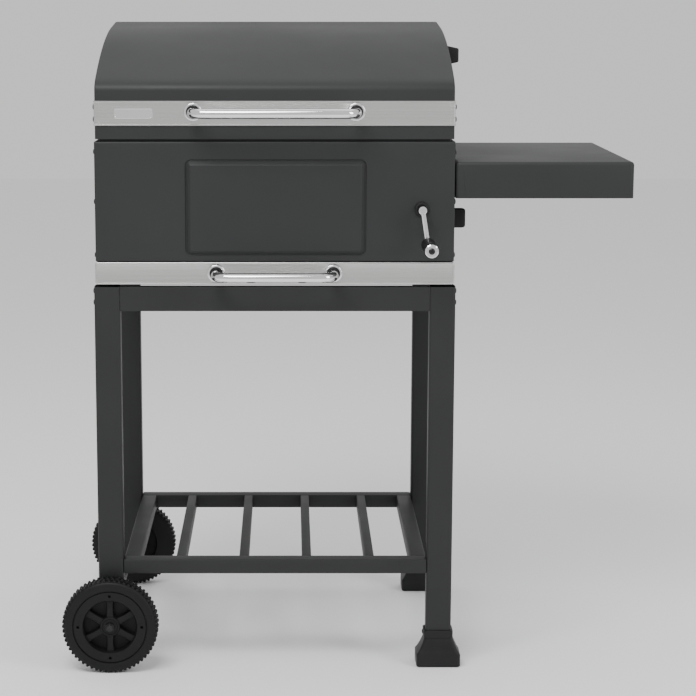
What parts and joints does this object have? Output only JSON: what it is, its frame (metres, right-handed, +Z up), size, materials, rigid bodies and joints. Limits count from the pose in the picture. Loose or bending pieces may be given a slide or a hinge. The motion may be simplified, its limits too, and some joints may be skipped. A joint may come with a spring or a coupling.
{
  "type": "charcoal grill cart",
  "caption": "Charcoal grill on a wheeled cart: lidded steel firebox with crank-raised charcoal pan, ash drawer, side shelf, bottom rack, wheels on one side and feet on the other.",
  "frame": {"origin": "middle of the bottom face of the bounding box, on the ground", "axes": "+X to the user's right, towards the side shelf; +Y from the user towards the hinges; +Z up"},
  "size_m": [0.9365, 0.6366, 1.0674],
  "materials": {
    "frame_paint": "satin anthracite powder coat",
    "body_paint": "satin anthracite powder coat with a fine texture",
    "stainless": "lengthwise brushed",
    "chrome": "polished",
    "zinc_steel": "dull zinc plate",
    "black_enamel": "glossy vitreous enamel",
    "grate_enamel": "enamelled bars",
    "black_plastic": "fine grained moulding"
  },
  "bodies": {
    "cart": {"leg_front_left": "frame_paint", "leg_front_right": "frame_paint", "leg_rear_left": "frame_paint", "leg_rear_right": "frame_paint", "apron_front": "frame_paint", "apron_rear": "frame_paint", "apron_left": "frame_paint", "apron_right": "frame_paint", "bottom_rack": "frame_paint", "foot_front_right": "black_plastic", "foot_rear_right": "black_plastic", "axle": "zinc_steel", "axle_nut_front": "zinc_steel", "axle_nut_rear": "zinc_steel", "front_panel": "body_paint", "rear_panel": "body_paint", "side_panel_left": "body_paint", "side_panel_right": "body_paint", "side_shelf": "body_paint", "drawer_rail_left": "zinc_steel", "drawer_rail_right": "zinc_steel", "lift_guide_left": "zinc_steel", "lift_guide_right": "zinc_steel", "cooking_grate_left": "grate_enamel", "cooking_grate_right": "grate_enamel", "hinge_fixed_leaf_left": "zinc_steel", "hinge_fixed_leaf_right": "zinc_steel", "hinge_pin_left": "zinc_steel", "hinge_pin_right": "zinc_steel", "spindle_escutcheon": "black_plastic"},
    "lid": {"lid_shell": "body_paint", "lid_end_left": "body_paint", "lid_end_right": "body_paint", "lid_band": "stainless", "lid_handle": "chrome", "lid_rosette_left": "chrome", "lid_rosette_right": "chrome", "hinge_lid_leaf_left": "zinc_steel", "hinge_lid_leaf_right": "zinc_steel"},
    "lid_vent": {"lid_vent_slider": "body_paint", "lid_vent_knob": "black_plastic"},
    "firebox_vent": {"firebox_vent_slider": "body_paint", "firebox_vent_knob": "black_plastic"},
    "drawer": {"drawer_front": "stainless", "ash_tray": "black_enamel", "drawer_handle": "chrome", "drawer_rosette_left": "chrome", "drawer_rosette_right": "chrome"},
    "crank": {"spindle": "zinc_steel", "crank_arm": "chrome"},
    "grip": {"crank_grip": "black_plastic"},
    "lift_cam": {"cam_plate_left": "zinc_steel", "cam_plate_right": "zinc_steel", "cam_tie_bar": "zinc_steel", "lift_nut": "zinc_steel"},
    "pan": {"charcoal_pan": "black_enamel", "lift_rod_front": "zinc_steel", "lift_rod_rear": "zinc_steel"},
    "front_wheel": {"wheel_front": "black_plastic"},
    "rear_wheel": {"wheel_rear": "black_plastic"}
  },
  "joints": [
    {"name": "lid_hinge", "type": "hinge", "parent": "cart", "child": "lid", "pos_m": [-0.11375, 0.27625, 0.8837], "axis": [-1, 0, 0], "range_deg": [0, 103]},
    {"name": "lid_vent_slide", "type": "slide", "parent": "lid", "child": "lid_vent", "axis": [0, 1, 0], "range_m": [0, 0.014]},
    {"name": "firebox_vent_slide", "type": "slide", "parent": "cart", "child": "firebox_vent", "axis": [0, 1, 0], "range_m": [0, 0.014]},
    {"name": "drawer_pull", "type": "slide", "parent": "cart", "child": "drawer", "axis": [0, -1, 0], "range_m": [0, 0.34]},
    {"name": "crank_turn", "type": "hinge", "parent": "cart", "child": "crank", "pos_m": [0.12485, -0.2, 0.7727], "axis": [0, 1, 0], "range_deg": [0, 2160]},
    {"name": "grip_spin", "type": "hinge", "parent": "crank", "child": "grip", "pos_m": [0.13345, -0.27525, 0.71838], "axis": [0, 1, 0], "continuous": true},
    {"name": "cam_slide", "type": "slide", "parent": "cart", "child": "lift_cam", "axis": [0, 1, 0], "range_m": [0, 0.0601]},
    {"name": "pan_lift", "type": "slide", "parent": "cart", "child": "pan", "axis": [0, 0, 1], "range_m": [0, 0.0601]},
    {"name": "front_wheel_spin", "type": "hinge", "parent": "cart", "child": "front_wheel", "pos_m": [-0.38825, -0.22375, 0.08], "axis": [0, 1, 0], "continuous": true},
    {"name": "rear_wheel_spin", "type": "hinge", "parent": "cart", "child": "rear_wheel", "pos_m": [-0.38825, 0.29725, 0.08], "axis": [0, 1, 0], "continuous": true}
  ],
  "couplings": [
    {"joint": "cam_slide", "follows": "crank_turn", "m_per_rad": 0.0015915},
    {"joint": "pan_lift", "follows": "crank_turn", "m_per_rad": 0.0015915}
  ]
}
